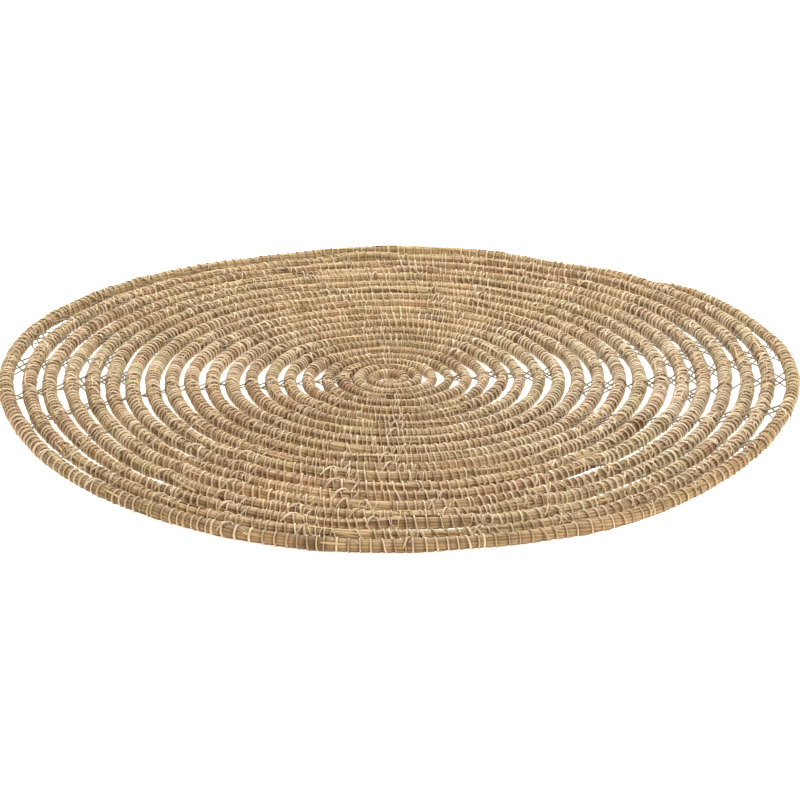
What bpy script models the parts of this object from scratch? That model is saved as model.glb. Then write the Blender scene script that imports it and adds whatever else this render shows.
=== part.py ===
"""Round coiled placemat, about 38 cm across.

One rope of straw is laid in an open flat spiral of about twenty turns, with an
air gap between neighbouring turns. The mat lies on a broad flat strip along Y
and its left and right edges curl up a few millimetres. The rope starts as a
tight curl in the middle and ends as a thin tip on the right of the far side.

Frame: metres, +Z up, X across the mat, -Y the near edge. The origin is the
middle of the mat's footprint, on the plane that it lies on.
"""
import math

import bmesh
import bpy

# ---- driving sizes (metres) -------------------------------------------------
ROPE_WIDTH = 0.0058        # across the bound rope, seen from above
ROPE_HEIGHT = 0.0054       # flat under side to flat top
ROPE_FLAT = 0.0029         # width of the flat under side
START_RADIUS = 0.0060      # centre line of the first turn at angle 0
FIRST_TURN = -0.46         # the rope begins this many turns before angle 0
LAST_TURN = 20.125         # and ends here, 45 degrees past the last angle 0
FLAT_HALF = 0.028          # half width of the strip that lies flat
CURL_RISE = 0.0066         # lift of the left and right edges
CURL_REACH = 0.187         # distance from the middle where that lift is reached
START_TAPER = 0.55         # turns over which the rope grows to full size
END_TAPER = 0.035          # turns over which it thins to the tip
START_SCALE = 0.50
END_SCALE = 0.34
MIDDLE_DRIFT = -0.0014     # the middle of the coil sits this far left
SEGMENTS_AT_RIM = 54       # straight lengths in the outermost turn
SEGMENTS_MIN = 16          # and in the tightest turn

# spacing of the turns: it opens out from the tight middle to the rim
PITCH = (
    # turn, pitch there
    (-1.0, 0.0062),
    (1.0, 0.0064),
    (4.0, 0.0083),
    (10.0, 0.0097),
    (21.0, 0.01025),
)

# how the hand-laid outermost turn wanders from an even spiral
RIM = (
    # turn, outward shift, lift
    (18.80, 0.0000, 0.0000),
    (19.00, -0.0013, 0.0000),
    (19.13, 0.0004, 0.0000),
    (19.17, -0.0008, 0.0000),
    (19.22, 0.0026, 0.0007),
    (19.24, 0.0027, 0.0007),
    (19.29, 0.0002, 0.0002),
    (19.38, 0.0004, 0.0000),
    (19.42, -0.0002, 0.0000),
    (19.46, 0.0004, 0.0000),
    (19.50, 0.0001, 0.0000),
    (19.57, -0.0022, 0.0000),
    (19.61, -0.0014, 0.0000),
    (19.65, -0.0017, 0.0000),
    (19.72, -0.0003, 0.0000),
    (19.76, -0.0009, 0.0000),
    (19.79, -0.0021, 0.0000),
    (19.84, 0.0000, 0.0000),
    (19.88, -0.0018, 0.0000),
    (19.93, -0.0016, 0.0000),
    (19.98, -0.0006, 0.0000),
    (20.04, -0.0024, 0.0000),
    (20.08, -0.0024, 0.0000),
    (20.10, -0.0012, 0.0000),
    (20.13, -0.0030, 0.0000),
)

# uneven spacing at the sides: on the left the outer turns sit further in and
# the middle ones further out, on the right the outer turns sit slightly in
SIDE_SHIFT = (
    # turn, outward shift on the left, outward shift on the right
    (3.50, 0.0000, 0.0000),
    (5.50, 0.0012, 0.0000),
    (8.50, 0.0017, 0.0000),
    (11.50, 0.0020, -0.0009),
    (13.00, 0.0012, -0.0010),
    (14.50, -0.0002, -0.0010),
    (16.50, -0.0016, -0.0009),
    (18.75, -0.0024, -0.0008),
    (19.25, 0.0000, -0.0006),
    (19.75, 0.0000, 0.0000),
)

# slow waves that carry through all turns, as hand coiling leaves them
WAVES = (
    # lobes around, drift per turn, size at the rim, start angle
    (2, 0.35, 0.00045, 0.6),
    (3, -0.55, 0.00040, 2.1),
    (5, 0.80, 0.00030, 4.0),
    (7, -1.30, 0.00022, 1.2),
)


def between(rows, x, column):
    """Smooth value of a table column at x, level before and after the table."""
    if x <= rows[0][0]:
        return rows[0][column]
    for low, high in zip(rows, rows[1:]):
        if x <= high[0]:
            t = (x - low[0]) / (high[0] - low[0])
            t = t * t * (3.0 - 2.0 * t)
            return low[column] + (high[column] - low[column]) * t
    return rows[-1][column]


def even_radius(turn):
    """Radius of the even spiral: the pitch table, added up from turn 0."""
    def summed(t):
        total = 0.0
        for (t0, p0), (t1, p1) in zip(PITCH, PITCH[1:]):
            if t <= t0:
                break
            e = min(t, t1)
            pe = p0 + (p1 - p0) * (e - t0) / (t1 - t0)
            total += (e - t0) * (p0 + pe) / 2.0
        return total
    return START_RADIUS + summed(turn) - summed(0.0)


def curl(x):
    """Height of the mat's under side, level along the middle strip."""
    over = max(0.0, abs(x) - FLAT_HALF)
    return CURL_RISE * (over / (CURL_REACH - FLAT_HALF)) ** 2


def centre_line(turn):
    """Middle x, y, radius, angle and lift of the rope at this turn."""
    angle = 2.0 * math.pi * turn
    radius = even_radius(turn)
    share = min(1.0, radius / even_radius(20.0))
    for lobes, drift, size, start in WAVES:
        radius += size * share * math.sin(lobes * angle + drift * turn + start)
    radius += between(RIM, turn, 1)
    side = math.cos(angle)
    radius += side * side * between(SIDE_SHIFT, turn, 1 if side < 0.0 else 2)
    middle = MIDDLE_DRIFT * (1.0 - share)
    return middle, radius, angle, between(RIM, turn, 2)


def rope_scale(turn):
    begin = min(1.0, (turn - FIRST_TURN) / START_TAPER)
    end = min(1.0, (LAST_TURN - turn) / END_TAPER)
    end = END_SCALE + (1.0 - END_SCALE) * math.sqrt(max(0.0, end))
    return (START_SCALE + (1.0 - START_SCALE) * begin) * end


def stations():
    """Turns at which the rope has a section, closer together near the rim."""
    turn, out = FIRST_TURN, [FIRST_TURN]
    rim = even_radius(20.0)
    while turn < LAST_TURN:
        share = max(0.0, even_radius(turn)) / rim
        per_turn = max(SEGMENTS_MIN, SEGMENTS_AT_RIM * math.sqrt(share))
        turn += 1.0 / per_turn
        out.append(min(turn, LAST_TURN))
    if out[-1] - out[-2] < 0.004:
        del out[-2]
    return out


def section(turn):
    """Six corners of the rope's section, flat on its under side and top."""
    middle, radius, angle, lift = centre_line(turn)
    k = rope_scale(turn)
    w, f, h = ROPE_WIDTH / 2 * k, ROPE_FLAT / 2 * k, ROPE_HEIGHT * k
    outline = ((-f, 0.0), (f, 0.0), (w, h / 2), (f, h), (-f, h), (-w, h / 2))
    ca, sa = math.cos(angle), math.sin(angle)
    corners = []
    for out, up in outline:
        x = middle + (radius + out) * ca
        y = (radius + out) * sa
        corners.append([x, y, curl(x) + lift + up])
    return corners


def main():
    for old in list(bpy.data.objects):
        bpy.data.objects.remove(old, do_unlink=True)

    rings = [section(t) for t in stations()]
    every = [c for ring in rings for c in ring]
    mid_x = (min(c[0] for c in every) + max(c[0] for c in every)) / 2
    mid_y = (min(c[1] for c in every) + max(c[1] for c in every)) / 2

    bm = bmesh.new()
    loops = [[bm.verts.new((x - mid_x, y - mid_y, z)) for x, y, z in ring]
             for ring in rings]
    for a, b in zip(loops, loops[1:]):
        for i in range(6):
            j = (i + 1) % 6
            bm.faces.new((a[i], b[i], b[j], a[j]))
    bm.faces.new(loops[0])
    bm.faces.new(list(reversed(loops[-1])))
    bmesh.ops.recalc_face_normals(bm, faces=bm.faces)
    if bm.calc_volume(signed=True) < 0.0:
        bmesh.ops.reverse_faces(bm, faces=bm.faces)

    mesh = bpy.data.meshes.new("coil")
    bm.to_mesh(mesh)
    bm.free()
    mesh.shade_smooth()
    mesh.set_sharp_from_angle(angle=math.radians(50))

    straw = bpy.data.materials.new("straw")
    straw.use_nodes = True
    shader = straw.node_tree.nodes["Principled BSDF"]
    shader.inputs["Base Color"].default_value = (0.50, 0.36, 0.21, 1.0)
    shader.inputs["Roughness"].default_value = 0.62
    shader.inputs["Metallic"].default_value = 0.0
    mesh.materials.append(straw)

    coil = bpy.data.objects.new("coil", mesh)
    bpy.context.scene.collection.objects.link(coil)
    print("middle of the spiral from the origin (mm): %.3f %.3f"
          % (-mid_x * 1000, -mid_y * 1000),
          "sections", len(rings), "triangles", len(rings) * 12)


main()
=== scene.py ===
"""Looks of the round coiled placemat: a bundle of straw stalks laid in an open
spiral, bound by one long pale strand, with crossed stitches in the gaps."""
import math

import bpy
import numpy as np
from mathutils import Matrix, Vector


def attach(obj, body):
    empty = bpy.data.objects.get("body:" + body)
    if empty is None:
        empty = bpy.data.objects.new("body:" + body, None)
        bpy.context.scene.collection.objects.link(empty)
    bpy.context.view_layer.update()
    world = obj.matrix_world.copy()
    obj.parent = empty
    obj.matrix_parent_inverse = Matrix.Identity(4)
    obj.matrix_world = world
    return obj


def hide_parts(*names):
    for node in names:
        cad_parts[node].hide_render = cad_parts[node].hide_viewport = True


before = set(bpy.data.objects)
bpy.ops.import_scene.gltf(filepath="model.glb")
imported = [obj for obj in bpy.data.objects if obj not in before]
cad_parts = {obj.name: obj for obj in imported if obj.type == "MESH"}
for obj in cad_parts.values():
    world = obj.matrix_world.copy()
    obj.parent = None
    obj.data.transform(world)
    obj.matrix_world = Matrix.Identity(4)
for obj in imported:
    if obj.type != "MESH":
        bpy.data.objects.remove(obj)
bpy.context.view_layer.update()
MM = 0.001

# ---------------------------------------------------------------- the spiral
START_RADIUS = 0.0060
FIRST_TURN, LAST_TURN = -0.46, 20.125
FLAT_HALF, CURL_RISE, CURL_REACH = 0.028, 0.0066, 0.187
START_TAPER, END_TAPER = 0.55, 0.035
START_SCALE, END_SCALE = 0.50, 0.34
MIDDLE_DRIFT = -0.0014
SPIRAL_X, SPIRAL_Y = -0.001986, 0.000704   # the spiral's middle in the frame
CORE_R = 2.80 * MM          # bundle of stalks
CURL_IN = -1.10             # the rope's start is curled on into the middle
CORE_UP = 2.98 * MM         # height of its middle over the mat's under side

PITCH = np.array([          # turn, pitch there
    (-1.0, 0.0062), (1.0, 0.0064), (4.0, 0.0083), (10.0, 0.0097), (21.0, 0.01025)])
RIM = np.array([            # turn, outward shift, lift
    (18.80, 0.0000, 0.0000), (19.00, -0.0013, 0.0000), (19.13, 0.0004, 0.0000),
    (19.17, -0.0008, 0.0000), (19.22, 0.0026, 0.0007), (19.24, 0.0027, 0.0007),
    (19.29, 0.0002, 0.0002), (19.38, 0.0004, 0.0000), (19.42, -0.0002, 0.0000),
    (19.46, 0.0004, 0.0000), (19.50, 0.0001, 0.0000), (19.57, -0.0022, 0.0000),
    (19.61, -0.0014, 0.0000), (19.65, -0.0017, 0.0000), (19.72, -0.0003, 0.0000),
    (19.76, -0.0009, 0.0000), (19.79, -0.0021, 0.0000), (19.84, 0.0000, 0.0000),
    (19.88, -0.0018, 0.0000), (19.93, -0.0016, 0.0000), (19.98, -0.0006, 0.0000),
    (20.04, -0.0024, 0.0000), (20.08, -0.0024, 0.0000), (20.10, -0.0012, 0.0000),
    (20.13, -0.0030, 0.0000)])
SIDE_SHIFT = np.array([     # turn, outward shift on the left, on the right
    (3.50, 0.0000, 0.0000), (5.50, 0.0012, 0.0000), (8.50, 0.0017, 0.0000),
    (11.50, 0.0020, -0.0009), (13.00, 0.0012, -0.0010), (14.50, -0.0002, -0.0010),
    (16.50, -0.0016, -0.0009), (18.75, -0.0024, -0.0008), (19.25, 0.0000, -0.0006),
    (19.75, 0.0000, 0.0000)])
WAVES = (                   # lobes around, drift per turn, size, start angle
    (2, 0.35, 0.00045, 0.6), (3, -0.55, 0.00040, 2.1),
    (5, 0.80, 0.00030, 4.0), (7, -1.30, 0.00022, 1.2))


LIFTS = (                   # where the rope arches off the table: turn, reach, mm
    (17.765, 0.026, 1.75), (18.265, 0.014, 2.1), (15.640, 0.016, 1.1),
    (14.855, 0.018, 1.4), (16.810, 0.014, 1.4), (16.240, 0.012, 1.2),
    (13.620, 0.014, 0.9), (12.860, 0.014, 1.0), (16.640, 0.010, 1.0))
THIN = (                    # where few stalks are in the rope: turn, reach, share left
    (18.760, 0.034, 0.80), (19.262, 0.016, 0.88), (17.640, 0.020, 0.90),
    (15.830, 0.022, 0.88), (16.260, 0.020, 0.90), (17.845, 0.020, 0.90),
    (14.630, 0.016, 0.90), (8.180, 0.030, 0.92), (11.700, 0.020, 0.92))
SECTORS = (                 # where all turns are pulled thin or fuller: angle, reach, least, from, to turn
    (0.0, 24.0, 0.68, -0.9, 3.6), (2.0, 22.0, 0.86, 3.0, 8.5),
    (222.0, 17.0, 0.875, 11.0, 19.0), (309.0, 17.0, 0.885, 10.0, 19.0),
    (20.0, 13.0, 0.92, 2.0, 10.0), (152.0, 10.0, 0.95, 12.0, 19.0),
    (224.0, 16.0, 1.11, 1.0, 6.5), (156.0, 11.0, 1.09, 1.0, 7.0), (192.0, 14.0, 1.12, 1.3, 3.6))


def between(rows, x, column):
    i = np.clip(np.searchsorted(rows[:, 0], x) - 1, 0, len(rows) - 2)
    t = np.clip((x - rows[i, 0]) / (rows[i + 1, 0] - rows[i, 0]), 0.0, 1.0)
    t = t * t * (3.0 - 2.0 * t)
    return rows[i, column] + (rows[i + 1, column] - rows[i, column]) * t


def summed_pitch(turn):
    total = np.zeros_like(turn)
    for (t0, p0), (t1, p1) in zip(PITCH, PITCH[1:]):
        e = np.clip(turn, t0, t1)
        pe = p0 + (p1 - p0) * (e - t0) / (t1 - t0)
        total += (e - t0) * (p0 + pe) / 2.0
    return total


def even_radius(turn):
    turn = np.asarray(turn, float)
    return START_RADIUS + summed_pitch(turn) - summed_pitch(np.zeros(1))[0]


def curl(x):
    """Height and slope of the mat's under side at x from the spiral's middle."""
    over = np.maximum(0.0, np.abs(x) - FLAT_HALF)
    k = CURL_RISE / (CURL_REACH - FLAT_HALF) ** 2
    return k * over ** 2, 2.0 * k * over * np.sign(x)


def noise(x, size, seed):
    """Smooth random wave, about -1 to 1, with features of this size."""
    g = np.random.default_rng(seed).uniform(-1, 1, 8192)
    u = np.asarray(x, float) / size + 100.0
    i = np.floor(u).astype(int)
    f = u - i
    f = f * f * (3 - 2 * f)
    return g[i % 8192] * (1 - f) + g[(i + 1) % 8192] * f


TURNS = np.arange(CURL_IN - 0.02, LAST_TURN + 0.02, 0.0005)
_share = np.minimum(1.0, even_radius(TURNS) / float(even_radius(20.0)))
_rad = even_radius(TURNS)
for _lobes, _drift, _size, _start in WAVES:
    _rad = _rad + _size * _share * np.sin(_lobes * 2 * np.pi * TURNS + _drift * TURNS + _start)
_rad = _rad + between(RIM, TURNS, 1)
_side = np.cos(2 * np.pi * TURNS)
_rad = _rad + _side ** 2 * np.where(_side < 0, between(SIDE_SHIFT, TURNS, 1), between(SIDE_SHIFT, TURNS, 2))
_first = float(np.interp(FIRST_TURN, TURNS, _rad))
_rad = np.where(TURNS < FIRST_TURN, _first * np.exp(1.7 * (TURNS - FIRST_TURN)), _rad)
_x = MIDDLE_DRIFT * (1.0 - _share) + _rad * np.cos(2 * np.pi * TURNS)
_y = _rad * np.sin(2 * np.pi * TURNS)
_z, _slope = curl(_x)
_len = np.concatenate([[0.0], np.cumsum(np.hypot(np.diff(_x), np.diff(_y)))])
_sway = (0.40 * noise(_len, 0.033, 301) + 0.16 * noise(_len, 0.014, 303)) * MM
_sway = _sway * np.clip((TURNS - 0.8) / 3.0, 0, 1) * np.clip((19.05 - TURNS) / 0.1, 0, 1)
_apart = (TURNS + 0.5) % 1.0 - 0.5             # the middle turns are drawn to a point on the right
_sway = _sway + 0.55 * MM * np.exp(-(_apart / 0.022) ** 2) * np.clip((TURNS - 1.5) * (9.0 - TURNS) / 6.0, 0, 1)
_sway = _sway + 0.45 * MM * np.exp(-((TURNS - 18.48) / 0.06) ** 2)
_sway = _sway - 0.90 * MM * np.exp(-((TURNS - 19.062) / 0.030) ** 2)
_sway = _sway - np.where(_side < 0, 0.70, 0.40) * MM * _side ** 2 * np.clip((TURNS - 19.0) / 0.1, 0, 1)
_x, _y = _x + _sway * np.cos(2 * np.pi * TURNS), _y + _sway * np.sin(2 * np.pi * TURNS)
_lift = 0.8 * MM * np.maximum(0.0, noise(_len, 0.048, 302)) * np.clip((TURNS - 2.0) / 3.0, 0, 1)
for _where, _reach, _up in LIFTS:
    _lift = np.maximum(_lift, _up * MM * np.exp(-((TURNS - _where) / _reach) ** 4))
_z = _z + between(RIM, TURNS, 2) + _lift + CORE_UP
PATH = np.stack([_x + SPIRAL_X, _y + SPIRAL_Y, _z], 1)
ALONG = np.concatenate([[0.0], np.cumsum(np.linalg.norm(np.diff(PATH, axis=0), axis=1))])
_t = np.gradient(PATH, axis=0)
TAN = _t / np.linalg.norm(_t, axis=1)[:, None]
_n = np.stack([-_slope, np.zeros_like(_slope), np.ones_like(_slope)], 1)
_n /= np.linalg.norm(_n, axis=1)[:, None]
OUT = np.cross(TAN, _n)
OUT /= np.linalg.norm(OUT, axis=1)[:, None]
UP = np.cross(OUT, TAN)


def at(values, turn):
    turn = np.asarray(turn, float)
    if values.ndim == 1:
        return np.interp(turn, TURNS, values)
    return np.stack([np.interp(turn, TURNS, values[:, k]) for k in range(values.shape[1])], -1)


def along_of(turn):
    return np.interp(turn, TURNS, ALONG)


def turn_of(along):
    return np.interp(along, ALONG, TURNS)


def radius_of(turn):
    """Metres of rope per radian at this turn."""
    return np.interp(turn, TURNS, np.gradient(ALONG, TURNS)) / (2 * np.pi)


# listed faults: bare or swollen stretches (turn, half length, swelling, bare)
PATCHES = (
    (18.128, 0.0046, 0.17, 0.3), (13.218, 0.0055, 0.15, 1), (19.204, 0.0100, 0.03, 0),
    (17.142, 0.0060, 0.06, 1), (6.860, 0.0050, 0.08, 0), (11.290, 0.0060, 0.07, 1),
    (15.735, 0.0080, 0.03, 1), (13.760, 0.0070, 0.03, 1), (9.705, 0.0060, 0.04, 1),
    (16.770, 0.0070, 0.03, 1), (12.180, 0.0050, 0.06, 0), (17.545, 0.0045, 0.07, 0),
    (14.030, 0.0040, 0.08, 0), (18.730, 0.0090, 0.02, 1), (7.240, 0.0050, 0.04, 1))


def rope_scale(turn):
    begin = np.clip((turn - FIRST_TURN) / START_TAPER, 0, 1)
    begin = START_SCALE + (1 - START_SCALE) * begin
    begin = begin - 0.20 * np.clip((FIRST_TURN - turn) / (FIRST_TURN - CURL_IN), 0, 1)
    end = np.clip((LAST_TURN - turn) / END_TAPER, 0, 1)
    end = END_SCALE + (1 - END_SCALE) * np.sqrt(end)
    return begin * end


def pale_at(turn):
    """The straw is paler and greyer towards the right, and a little on the left."""
    turn = np.asarray(turn)
    c = np.cos(2 * np.pi * (turn + 0.080))
    return np.where(c > 0, c * c, 0.50 * c * c) * (1 - 0.65 * np.clip((turn - 19.7) / 0.2, 0, 1))


def core_radius(turn):
    a = along_of(turn)
    r = 1.0 + 0.055 * noise(a, 0.011, 3) + 0.065 * noise(a, 0.042, 4)
    for where, half, swell, bare in PATCHES:
        d = (a - along_of(where)) / half
        r = r + swell * np.exp(-d * d)
    r = r + 0.055 * np.exp(-(near_tie(a) / 0.0045) ** 2)
    side = np.cos(2 * np.pi * turn)
    rim = np.clip((turn - 19.05) / 0.1, 0, 1)
    outer = np.clip((turn - 9.0) / 4.0, 0, 1)
    r = r * (1 + side ** 2 * np.where(side < 0, 0.060 + 0.055 * outer, 0.078 - 0.050 * rim) + 0.030 * rim)
    r = r * (1 - 0.150 * np.clip((9.5 - turn) / 4.0, 0, 1) * np.clip((turn + 0.2) / 0.6, 0, 1))
    for where, reach, left in THIN:
        r = r * (1 - (1 - left) * np.exp(-((turn - where) / reach) ** 4))
    for angle, reach, least, low, high in SECTORS:
        off = np.mod(turn * 360.0 - angle + 180.0, 360.0) - 180.0
        fade = np.clip((turn - low) * 1.5, 0, 1) * np.clip((high - turn) * 1.5, 0, 1)
        r = r * (1 - (1 - least) * np.exp(-(off / reach) ** 2) * fade)
    r = r * (1 - 0.16 * np.clip((turn - 20.015) / 0.05, 0, 1))
    return CORE_R * rope_scale(turn) * r


# ------------------------------------------------------- where stitches tie
def tie_turns():
    """Turn of the inner rope at each group of crossed stitches, rim first."""
    first = [400, 388, 376.5, 365.5, 354.5, 342.3, 330, 318, 306.5, 295, 283.5, 272, 260,
             248, 237, 226, 214.5, 203, 192, 180, 168, 157.5, 146.5, 135.5, 124.5, 113,
             101.5, 90, 79, 67.5, 56]
    out = [18.0 + a / 360.0 for a in first]
    g = np.random.default_rng(5)
    k = 0
    while out[-1] > 0.9:
        last = out[-1]
        while k < len(out):
            c = out[k] - 1.0 - 0.0046 + g.normal(0, 0.0016)
            if along_of(last) - along_of(c) > 0.023 and c < last:
                break
            k += 1
        if k >= len(out):
            break
        out.append(c)
        k += 1
    out = [t for t in out if t > 9.0]
    for n in range(8, 0, -1):                     # the middle turns are tied in spokes
        for share in (0.88, 0.76, 0.63, 0.519, 0.40, 0.27, 0.13, 0.004):
            if n > 3 or share in (0.519, 0.76, 0.27) or n == 3 and share < 0.01:
                out.append(n + share + g.normal(0, 0.004))
        if 4 < n < 9:
            out.append(n + 0.015)
    return np.array(out)


TIES = tie_turns()
TIE_ALONG = np.sort(np.concatenate([along_of(TIES), along_of(np.minimum(TIES + 1, LAST_TURN))]))


def near_tie(a):
    i = np.clip(np.searchsorted(TIE_ALONG, a), 1, len(TIE_ALONG) - 1)
    return np.minimum(np.abs(a - TIE_ALONG[i - 1]), np.abs(a - TIE_ALONG[i]))


# ----------------------------------------------------- where the strand wraps
def spacing_mm(t):
    """How far apart the wraps lie at this turn, front and back against sides."""
    theta = (t % 1.0) * 360.0
    if t > 19.10:
        if 45 < theta < 72 or t > 20.0:
            return 3.3
        if theta < 45 or theta > 330:
            return 3.9
        if 195 < theta < 330:
            return 4.45
        return 3.8 if theta > 140 else 4.7
    side = math.cos(2 * math.pi * t) ** 2
    ends = float(np.interp(t, (0, 4, 8, 12, 15, 17, 19), (2.1, 2.4, 2.7, 3.0, 3.5, 3.9, 4.2)))
    sides = float(np.interp(t, (0, 4, 8, 12, 19), (2.1, 2.45, 2.8, 3.05, 3.2)))
    return ends + (sides - ends) * side


def wrap_turns():
    """Turn at which each wrap crosses the top. Wraps tend to follow on from those
    of the turn inside, as the needle goes through beside them."""
    g = np.random.default_rng(9)
    out = [CURL_IN + 0.10]
    k = 0
    while out[-1] < LAST_TURN - 0.0180:
        t = out[-1]
        r = float(radius_of(t))
        a = float(along_of(t))
        want = spacing_mm(t) * (1.0 + 0.20 * float(noise(a, 0.030, 11)) + g.normal(0, 0.06))
        if near_tie(a) < 0.0035:
            want *= 1.30
        for where, half, swell, bare in PATCHES:
            if bare and abs(a - float(along_of(where))) < half * 0.8:
                want = max(want, half * 1.7 / MM)
        want = max(1.4, want) * MM
        per = 2 * math.pi * r
        nxt = t + want / per
        on = 0.34 * want / per
        while k < len(out) and out[k] + 1.0 + on < t + 0.60 * want / per:
            k += 1
        if k < len(out) and 2.0 < t < 19.12:
            c = out[k] + 1.0 + on
            if c < t + 1.45 * want / per:
                nxt = c + g.normal(0, 0.16) * MM / per
                k += 1
        if g.random() < 0.07 and t > 3:          # a wrap laid close beside the last
            nxt = t + (nxt - t) * 0.55
        out.append(max(nxt, t + 1.0 * MM / per))
    return np.array(out)


WRAPS = wrap_turns()


def dark_spots():
    """Holes where the needle went through: turn and angle round the rope. Each is dented in and painted dark, as
    painted shade in the hole.
    """
    g = np.random.default_rng(12)
    out = []
    for t in TIES:
        for rope, low, high in ((0.0, 15, 100), (1.0, 80, 165)):
            for _ in range(int(g.integers(0, 3))):
                turn = t + rope + g.normal(0, 2.2) * MM / (2 * math.pi * float(radius_of(t)))
                out.append((turn, g.uniform(low, high), g.uniform(0.6, 1.0)))
    out += [(0.20, 70, 1.1), (0.62, 60, 1.2), (0.95, 95, 1.2), (1.08, 75, 1.3), (1.30, 110, 1.0), (1.55, 60, 1.2),
            (2.06, 85, 1.3), (2.16, 65, 1.1), (2.72, 70, 1.2), (3.10, 100, 1.2), (18.990, 80, 1.2), (16.490, 24, 1.3), (17.492, 72, 1.1), (18.450, 80, 1.0)]
    for _ in range(520):
        out.append((turn_of(g.uniform(ALONG[0], ALONG[-1] - 0.01)), g.uniform(10, 165),
                    g.uniform(0.4, 0.9)))
    return out


# ------------------------------------------------------------- mesh builders
def new_mesh(name, verts, quads, caps, attributes, uv, cap_uv, material):
    """A mesh object from arrays. caps are vertex loops with any count."""
    me = bpy.data.meshes.new(name)
    nq = len(quads)
    sizes = np.concatenate([np.full(nq, 4), [len(c) for c in caps]]).astype(np.int32)
    loops = np.concatenate([quads.ravel()] + [np.asarray(c) for c in caps]).astype(np.int32)
    starts = np.concatenate([[0], np.cumsum(sizes)[:-1]]).astype(np.int32)
    me.vertices.add(len(verts))
    me.vertices.foreach_set("co", np.ascontiguousarray(verts, np.float32).ravel())
    me.loops.add(len(loops))
    me.loops.foreach_set("vertex_index", loops)
    me.polygons.add(len(sizes))
    me.polygons.foreach_set("loop_start", starts)
    me.polygons.foreach_set("loop_total", sizes)
    me.polygons.foreach_set("use_smooth", np.ones(len(sizes), bool))
    for key, data in attributes.items():
        att = me.attributes.new(key, "FLOAT_VECTOR", "POINT")
        att.data.foreach_set("vector", np.ascontiguousarray(data, np.float32).ravel())
    layer = me.uv_layers.new(name="OFBake", do_init=False)
    rounds = []
    for loop, (u, v, wide, tall) in zip(caps, cap_uv):
        w = np.arange(len(loop)) * 2 * np.pi / len(loop)
        rounds.append(np.stack([u + wide * np.cos(w), v + tall * np.sin(w)], -1))
    layer.uv.foreach_set("vector", np.concatenate([uv] + rounds).astype(np.float32).ravel())
    me.update(calc_edges=True)
    me.validate()
    me.materials.append(material)
    ob = bpy.data.objects.new(name, me)
    bpy.context.scene.collection.objects.link(ob)
    return ob


def row_uv(start, end, across0, across1, rows, row_length):
    """Quad corners laid in rows of one square: start and end are lengths along,
    across0 and across1 shares of the way round. A cap goes at the row's edge."""
    row = np.floor(start / row_length)
    u0 = (start - row * row_length) / row_length * 0.97 + 0.005
    u1 = (end - row * row_length) / row_length * 0.97 + 0.005
    v0 = (row + 0.06 + 0.76 * across0) / rows
    v1 = (row + 0.06 + 0.76 * across1) / rows
    return np.stack([np.stack([u0, v0], -1), np.stack([u1, v0], -1),
                     np.stack([u1, v1], -1), np.stack([u0, v1], -1)], -2)


def cap_place(at_length, rows, row_length):
    row = np.floor(at_length / row_length)
    u = (at_length - row * row_length) / row_length * 0.97 + 0.005
    return float(min(max(u, 0.004), 0.99)), float((row + 0.90) / rows), 0.0015, 0.04 / rows


# ------------------------------------------------------------------- the core
SIDES = 24
STALKS = SIDES // 2


def core_stations():
    """Two or three sections to each wrap: drawn in under it, full between."""
    turns, pinch = [], []
    lead = np.linspace(CURL_IN, WRAPS[0], 4)[:-1]
    turns += list(lead)
    pinch += [0.0] * len(lead)
    for a, b in zip(WRAPS, WRAPS[1:]):
        gap = float(along_of(b) - along_of(a))
        turns.append(a)
        pinch.append(1.0)
        mids = (0.5,) if gap < 0.0044 else ((0.3, 0.7) if gap < 0.008 else (0.2, 0.4, 0.6, 0.8))
        for f in mids:
            turns.append(a + (b - a) * f)
            pinch.append(0.0)
    tail = np.linspace(WRAPS[-1], LAST_TURN, 14)
    turns += list(tail)
    pinch += [1.0] + [0.0] * (len(tail) - 1)
    return np.array(turns), np.array(pinch)


RIM_AT = (0.0, 0.04, 0.12, 0.25, 0.40, 0.50, 0.56, 0.66, 0.74, 0.80, 0.92, 1.0)
RIM_FRESH = (1.1, 1.3, 1.1, 0.5, 0.9, 0.8, 0.45, 0.60, 1.20, 1.2, 1.4, 1.1)
RIM_DARK = (0.0, 0.0, 0.0, 0.0, 0.0, 0.0, 0.20, 0.55, 0.42, 0.20, 0.0, 0.0)


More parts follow.
